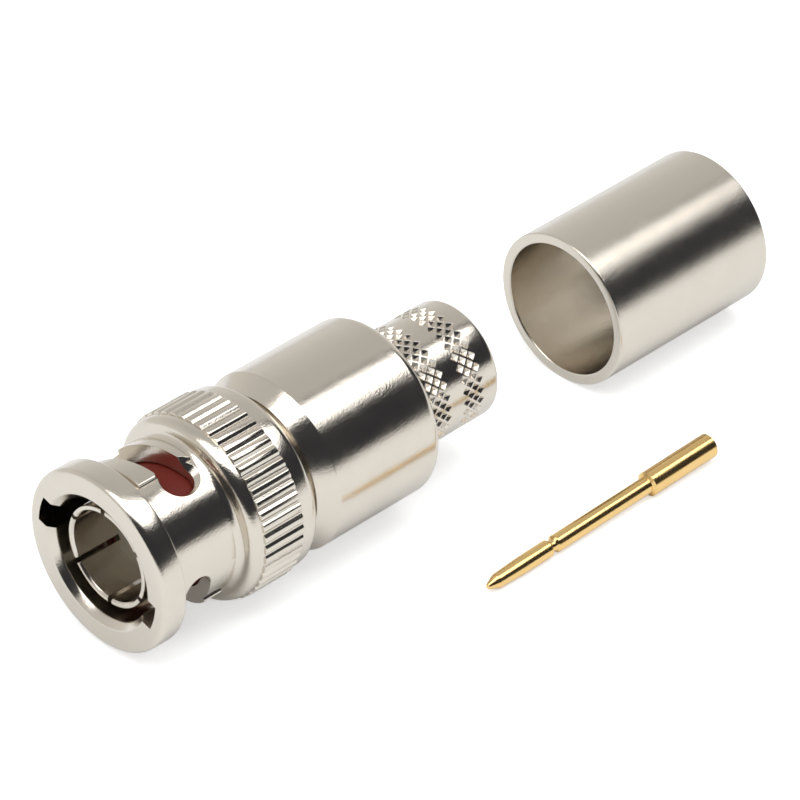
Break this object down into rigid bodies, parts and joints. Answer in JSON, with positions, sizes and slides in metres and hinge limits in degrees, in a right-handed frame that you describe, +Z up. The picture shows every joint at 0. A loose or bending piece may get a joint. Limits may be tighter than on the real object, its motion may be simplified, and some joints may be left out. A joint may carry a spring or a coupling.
{
  "type": "bnc connector",
  "caption": "Bayonet-lock coaxial crimp plug with a turning, sprung coupling nut, laid out with its loose crimp ferrule and gold centre contact.",
  "frame": {"origin": "on the plug's axis, at the front edge of the slotted contact sleeve", "axes": "+X along the plug's axis, from the mating face to the cable end; +Z up from the surface that the pieces lie on; +Y to the side away from the loose centre contact"},
  "size_m": [0.0633, 0.0236, 0.015],
  "materials": {
    "bright_nickel": "bright nickel plate over turned brass",
    "satin_nickel": "nickel plate, faintly grained",
    "gold_plate": "polished gold plate",
    "spring_steel": "bright spring steel",
    "silicone": "red-brown silicone, matt",
    "ptfe": "white, waxy"
  },
  "bodies": {
    "plug": {"outer_contact": "bright_nickel", "gasket": "silicone", "front_insulator": "ptfe", "rear_insulator": "ptfe", "body": "bright_nickel", "wave_washer": "spring_steel", "crimp_ferrule": "satin_nickel", "centre_contact": "gold_plate"},
    "spring_seat": {"flat_washer": "spring_steel"},
    "nut": {"coupling_nut": "bright_nickel", "retaining_ring": "spring_steel"}
  },
  "joints": [
    {"name": "nut_pull", "type": "slide", "parent": "plug", "child": "spring_seat", "axis": [-1, 0, 0], "range_m": [0, 0.0009], "stiffness_N_per_m": 1500, "springref_m": -0.004, "deforming": ["wave_washer"]},
    {"name": "nut_turn", "type": "hinge", "parent": "spring_seat", "child": "nut", "pos_m": [0, 0, 0], "axis": [1, 0, 0], "continuous": true}
  ]
}
